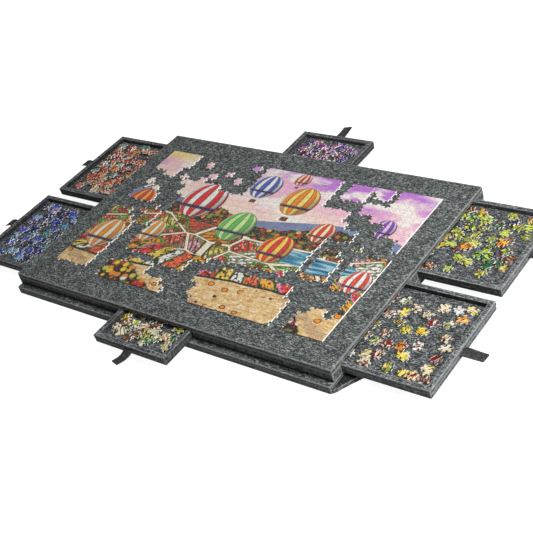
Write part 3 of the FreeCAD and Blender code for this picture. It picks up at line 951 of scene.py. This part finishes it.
def makePart(move, blocks, turn=0):
    # cuts one finished part, bends its cuts, lays the picture on it and puts it in its place
    cells = {(c, r) for c0, r0, c1, r1 in blocks for c in range(c0, c1 + 1) for r in range(r0, r1 + 1)}
    lastColumn, lastRow = pictureCut["columns"] - 1, pictureCut["rows"] - 1
    pieces = []
    for c, r in sorted(cells):
        atEdge = (c == lastColumn, r == lastRow, c == 0, r == 0)
        codes = tuple(0 if edge else code for code, edge in zip(codesAt(c, r), atEdge))
        free = [beside not in cells for beside in ((c + 1, r), (c, r + 1), (c - 1, r), (c, r - 1))]
        pieces.append(jigsawPiece(codes, c, r, free))
    whole = joinPieces("part", pieces)
    bendPart(whole)
    layPicture(whole)
    middle = middleOf(whole)
    turned = Matrix.Rotation(math.radians(turn), 4, "Z")
    whole.data.transform(Matrix.Translation(middle) @ turned @ Matrix.Translation(-middle))
    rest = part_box("deck_board")[1][2] - pictureCut["sink"]
    shift = Vector((*move, 0)) * mm + Vector((*pictureCut["low"], rest))
    whole.data.transform(Matrix.Translation(shift))
    return whole


def layPicture(piece):
    layer = piece.data.uv_layers.new(name="picture")
    points = np.empty(len(piece.data.vertices) * 3)
    piece.data.vertices.foreach_get("co", points)
    corners = np.empty(len(piece.data.loops), dtype=np.int32)
    piece.data.loops.foreach_get("vertex_index", corners)
    layer.data.foreach_set("uv", (points.reshape(-1, 3)[corners, :2] / pictureHeight).ravel())


def paintShadeOnCutSides(piece):
    # cut sides are white card towards the light, and painted shade darkens those that face away from it
    normals = np.empty(len(piece.data.polygons) * 3)
    piece.data.polygons.foreach_get("normal", normals)
    normals = normals.reshape(-1, 3)
    dim = np.clip(0.8 - 2 * normals @ (0.93, 0.37, 0), 0, 1) * (np.abs(normals[:, 2]) < 0.6)
    setFaces(piece, "dim", dim)


def makePuzzle():
    parts = [makePart(move, blocks) for move, blocks in puzzleParts]
    parts += [makePart((0, 0), [(column, row, column, row)], turn) for column, row, turn in puzzleStrays]
    puzzle = joinPieces("deck_puzzle", parts)
    paintShadeOnCutSides(puzzle)
    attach(puzzle, "case")


makePuzzle()
print("puzzle on the deck ready")


# loose pieces in the trays

def paintLoose():
    paint = Paint("loosePrint")
    uv = paint.node("ShaderNodeUVMap", {"uv_map": "picture"})
    blots = paint.noise(uv, 34, 2, 0.55, 0.8)
    lines = paint.noise(paint.mapped(uv, turn=(0, 0, 0.7), stretch=(1, 5, 1)), 28, 1, 0.5, 0.3)
    shade = paint.lay(
        paint.attribute("tone", "Color"), (paint.attribute("accent", "Color"), blots, 0.53, 0.58),
        ((0.02, 0.012, 0.012), lines, 0.55, 0.59, 0.0, 0.93),
        ((0.95, 0.90, 0.80), lines, 0.39, 0.35, 0.0, 0.75))
    return finishPrint(paint, shade, "loose")


loosePrint = paintLoose()
cream, white, tan, brown = (0.88, 0.76, 0.52), (0.90, 0.88, 0.83), (0.72, 0.46, 0.20), (0.28, 0.10, 0.04)
yellow, orange, red, maroon = (0.90, 0.70, 0.05), (0.88, 0.33, 0.03), (0.75, 0.09, 0.04), (0.25, 0.015, 0.025)
lime, green, darkGreen, teal = (0.55, 0.66, 0.06), (0.20, 0.46, 0.06), (0.03, 0.14, 0.05), (0.08, 0.40, 0.38)
olive = (0.30, 0.34, 0.05)
blue, navy, sky, purple = (0.05, 0.13, 0.68), (0.015, 0.03, 0.16), (0.22, 0.44, 0.75), (0.26, 0.10, 0.50)
magenta, pink, coral = (0.55, 0.08, 0.45), (0.86, 0.38, 0.52), (0.88, 0.25, 0.12)
loads = {
    "right_front": {"count": 54, "spread": 9, "flipped": 0.04,
                    "tones": [cream, cream, white, tan, maroon, maroon, maroon, orange, yellow, yellow, brown,
                              olive],
                    "accents": [white, cream, maroon, brown, yellow]},
    "right_back": {"count": 78, "spread": 3,
                   "tones": [lime, lime, olive, yellow, lime, olive, darkGreen, green, navy, orange, brown],
                   "accents": [lime, olive, yellow, brown, darkGreen]},
    "back": {"count": 78, "spread": 2,
             "tones": [purple, magenta, maroon, magenta, navy, purple, maroon, pink],
             "accents": [pink, white, purple, navy]},
    "front": {"count": 84, "spread": 2,
              "tones": [cream, tan, lime, green, tan, brown, cream, yellow, darkGreen],
              "accents": [white, cream, brown, green]},
    "left_front": {"count": 100, "spread": 2,
                   "tones": [blue, blue, navy, navy, sky, blue, teal, purple, navy],
                   "accents": [blue, sky, navy, navy]},
    "left_back": {"count": 122, "spread": 2,
                  "tones": [coral, red, orange, coral, maroon, cream, red, brown, tan, teal],
                  "accents": [orange, maroon, cream, red, brown]},
}
pour = {"cell": 2 * mm, "rim": 12 * mm, "margin": 2 * mm, "highest": 8.6 * mm, "steepest": 0.38, "shapes": 14,
        "touch": 0.03 * mm, "mostTouching": 25, "lift": 0.1 * mm, "printSize": 0.476, "printScale": 1.3}


def makeLooseShapes():
    shapes = []
    for n in range(pour["shapes"]):
        codes = codesAt(41 + n, 2 * n % 20 + 3)
        if n % 7 == 3:
            codes = (0, *codes[1:])
        shape = jigsawPiece(codes, 3 * n, 5 * n % 17, [False] * 4)
        shape.data.materials[0] = loosePrint
        bendCuts(shape)
        middle = middleOf(shape)
        shape.data.transform(Matrix.Translation((-middle.x, -middle.y, 0)))
        under = min(shape.data.polygons, key=lambda face: face.normal.z)
        outline = np.array([shape.data.vertices[v].co[:2] for v in under.vertices])
        shapes.append((shape, outline))
    return shapes


def insideOutline(points, outline):
    # which points lie in the outline, by crossings of a ray to the right
    x, y = points[:, 0, None], points[:, 1, None]
    x0, y0 = outline[:, 0], outline[:, 1]
    x1, y1 = np.roll(x0, -1), np.roll(y0, -1)
    spans = (y0 > y) != (y1 > y)
    with np.errstate(divide="ignore", invalid="ignore"):
        crossing = x0 + (y - y0) * (x1 - x0) / (y1 - y0)
    return (spans & (x < crossing)).sum(axis=1) % 2 == 1


triples = {n: np.array(list(itertools.combinations(range(n), 3))) for n in range(3, pour["mostTouching"] + 1)}
compass = np.array([(math.cos(a), math.sin(a)) for a in np.arange(8) * math.pi / 4])


def cross(u, v):
    return u[:, 0] * v[:, 1] - u[:, 1] * v[:, 0]


def restPlane(offsets, rises):
    # the plane on which a piece comes to rest over these heights, steady under its middle
    chosen = {int(n) for n in np.argmax(offsets @ compass.T, axis=0)} | {int(np.argmax(rises))}
    slope, height = np.zeros(2), float(rises.max())
    for _ in range(12):
        index = np.array(sorted(chosen))
        trio = triples[len(index)]
        p, h = offsets[index], rises[index]
        a, b, c = p[trio[:, 0]], p[trio[:, 1]], p[trio[:, 2]]
        whole = cross(b - a, c - a)
        whole[np.abs(whole) < 1e-10] = np.nan
        shares = np.stack([cross(b, c), cross(c, a), cross(a, b)], axis=1) / whole[:, None]
        level = (shares * h[trio]).sum(axis=1)
        level[~(shares >= -1e-7).all(axis=1)] = -1
        best = trio[int(np.nanargmax(level))]
        plane = np.linalg.solve(np.c_[p[best], np.ones(3)], h[best])
        slope, height = plane[:2], float(plane[2])
        over = rises - offsets @ slope - height
        worst = int(np.argmax(over))
        if over[worst] < pour["touch"] or worst in chosen or len(chosen) >= pour["mostTouching"]:
            break
        chosen.add(worst)
    return slope, height + max(0.0, float(over[worst]))


def tryDrop(heights, centres, room, shapes):
    # a random shape, turn and spot, and the heights that it would cover there
    shape, outline = shapes[dice.integers(len(shapes))]
    yaw = dice.uniform(0, 2 * math.pi)
    turn = np.array([[math.cos(yaw), math.sin(yaw)], [-math.sin(yaw), math.cos(yaw)]])
    flat = outline @ turn
    low, high = flat.min(axis=0), flat.max(axis=0)
    spot = dice.uniform(pour["margin"] - low, room - pour["margin"] - high)
    ends = zip((low + spot) / pour["cell"], (high + spot) / pour["cell"])
    window = tuple(slice(max(0, int(a)), int(b) + 1) for a, b in ends)
    points = centres[window].reshape(-1, 2)
    covered = insideOutline(points, flat + spot)
    return {"shape": shape, "yaw": yaw, "spot": spot, "window": window, "covered": covered,
            "offsets": points[covered] - spot, "rises": heights[window].reshape(-1)[covered]}


def layPiece(drop, load, place):
    # a copy of the shape with its own print, at its place in the pile
    piece = copyPiece(drop["shape"], "loose")
    if dice.random() < load.get("flipped", 0):
        mirrored = Matrix.Translation((0, 0, jigsaw["thick"])) @ Matrix.Rotation(math.pi, 4, "X")
        piece.data.transform(mirrored)
    layLoosePrint(piece, load)
    piece.data.transform(place @ Matrix.Rotation(drop["yaw"], 4, "Z"))
    return piece


def pourTray(tray, shapes):
    # drops pieces one by one; each comes to rest on the floor or on those below it
    load = loads[tray]
    low, high = (np.array(corner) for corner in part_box(tray + "_tray_floor"))
    floorTop = high[2]
    low, high = low[:2] + pour["rim"], high[:2] - pour["rim"]
    room = high - low
    count = (room / pour["cell"]).astype(int)
    heights = np.zeros(count)
    rulers = [(np.arange(n) + 0.5) * pour["cell"] for n in count]
    centres = np.stack(np.meshgrid(*rulers, indexing="ij"), axis=-1)
    pieces = []
    while len(pieces) < load["count"]:
        drops = [tryDrop(heights, centres, room, shapes) for _ in range(load["spread"])]
        drop = min(drops, key=lambda one: float(one["rises"].mean()))
        offsets, rises, window = drop["offsets"], drop["rises"], drop["window"]
        slope, height = np.zeros(2), float(rises[0])
        if float(np.ptp(rises)) >= 1e-9:
            slope, height = restPlane(offsets, rises)
        top = offsets @ slope + height + jigsaw["thick"] * 1.02
        if np.hypot(*slope) > pour["steepest"] or top.max() > pour["highest"]:
            continue
        patch = heights[window].reshape(-1)
        patch[drop["covered"]] = np.maximum(patch[drop["covered"]], top)
        heights[window] = patch.reshape(heights[window].shape)
        normal = Vector((-slope[0], -slope[1], 1)).normalized()
        tilt = Vector((0, 0, 1)).rotation_difference(normal).to_matrix().to_4x4()
        place = Matrix.Translation((*(low + drop["spot"]), floorTop + height + pour["lift"])) @ tilt
        pieces.append(layPiece(drop, load, place))
    whole = joinPieces(tray + "_tray_loose_pieces", pieces)
    paintShadeOnCutSides(whole)
    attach(whole, tray + "_tray")


def layLoosePrint(piece, load):
    # its two colours, and its own bit of the print
    mesh = piece.data
    layer = mesh.uv_layers.new(name="picture")
    offset = dice.uniform(0, 9, 2)
    uvs = np.array([mesh.vertices[loop.vertex_index].co[:2] for loop in mesh.loops])
    uvs = uvs / pour["printSize"] * pour["printScale"] + offset
    layer.data.foreach_set("uv", uvs.ravel())
    for name, tones in (("tone", load["tones"]), ("accent", load["accents"])):
        tone = np.array(tones[dice.integers(len(tones))]) * dice.uniform(0.8, 1.1)
        layer = mesh.color_attributes.new(name=name, type="FLOAT_COLOR", domain="CORNER")
        layer.data.foreach_set("color", np.tile([*tone, 1.0], len(mesh.loops)))


looseShapes = makeLooseShapes()
for tray in trays:
    pourTray(tray, looseShapes)
for shape, _ in looseShapes:
    bpy.data.objects.remove(shape)
for blank in blanks.values():
    bpy.data.objects.remove(blank)
print("loose pieces ready")


# camera, floor and light

view = {"place": (1.4752, -1.3332, 1.3613), "forward": (-0.59365, 0.55446, -0.58323), "roll": -17.85,
        "lens": 71.497, "sensor_width": 36, "clip_start": 0.05, "clip_end": 60}


def makeCamera():
    data = bpy.data.cameras.new("camera")
    for name in ("lens", "sensor_width", "clip_start", "clip_end"):
        setattr(data, name, view[name])
    camera = addObject("camera", data)
    look = Vector(view["forward"]).to_track_quat("-Z", "Y")
    roll = Quaternion((0, 0, 1), math.radians(view["roll"]))
    camera.rotation_mode = "QUATERNION"
    camera.rotation_quaternion = look @ roll
    camera.location = view["place"]
    bpy.context.scene.camera = camera


floorLook = {"size": 24, "colour": 0.42, "lift": 0.92}


def makeFloor():
    clearSelection()
    bpy.ops.mesh.primitive_plane_add(size=floorLook["size"], location=(0, 0, 0))
    floor = bpy.context.object
    floor.name = "floor"
    paint = Paint("floorWhite")
    shade = paint.node("ShaderNodeBsdfDiffuse", {}, {"Color": (*[floorLook["colour"]] * 3, 1)})
    camera, glossy, through = (paint.node("ShaderNodeLightPath", output=f"Is {kind} Ray")
                               for kind in ("Camera", "Glossy", "Transmission"))
    seen = camera.either(glossy).either(through)
    glow = paint.node("ShaderNodeEmission", {}, {"Color": (1, 1, 1, 1), "Strength": seen * floorLook["lift"]})
    paint.end(paint.node("ShaderNodeAddShader", {}, {0: shade, 1: glow}))
    floor.data.materials.append(paint.material)


lamps = {
    "above": {"place": (1.38, 0.02, 2.0), "size": 0.55, "power": 45},
    "fromRight": {"place": (2.2, -0.1, 0.7), "size": 0.7, "power": 24},
}
ambient = 0.22


def makeLights():
    for name, lamp in lamps.items():
        data = bpy.data.lights.new(name, "AREA")
        data.size = lamp["size"]
        data.energy = lamp["power"]
        light = addObject(name, data)
        light.location = lamp["place"]
        light.rotation_mode = "QUATERNION"
        light.rotation_quaternion = (-Vector(lamp["place"])).to_track_quat("-Z", "Y")
    world = bpy.data.worlds.new("studio")
    world.use_nodes = True
    tree = world.node_tree
    tree.nodes.clear()
    path, plain, white, mix, out = (tree.nodes.new("ShaderNode" + kind) for kind in (
        "LightPath", "Background", "Background", "MixShader", "OutputWorld"))
    for backdrop, strength in ((plain, ambient), (white, 1)):
        backdrop.inputs["Color"].default_value = (1, 1, 1, 1)
        backdrop.inputs["Strength"].default_value = strength
    tree.links.new(path.outputs["Is Camera Ray"], mix.inputs[0])
    tree.links.new(plain.outputs[0], mix.inputs[1])
    tree.links.new(white.outputs[0], mix.inputs[2])
    tree.links.new(mix.outputs[0], out.inputs[0])
    bpy.context.scene.world = world


makeCamera()
makeFloor()
makeLights()
bpy.context.scene.view_settings.view_transform = "Standard"
print("camera, floor and light ready")
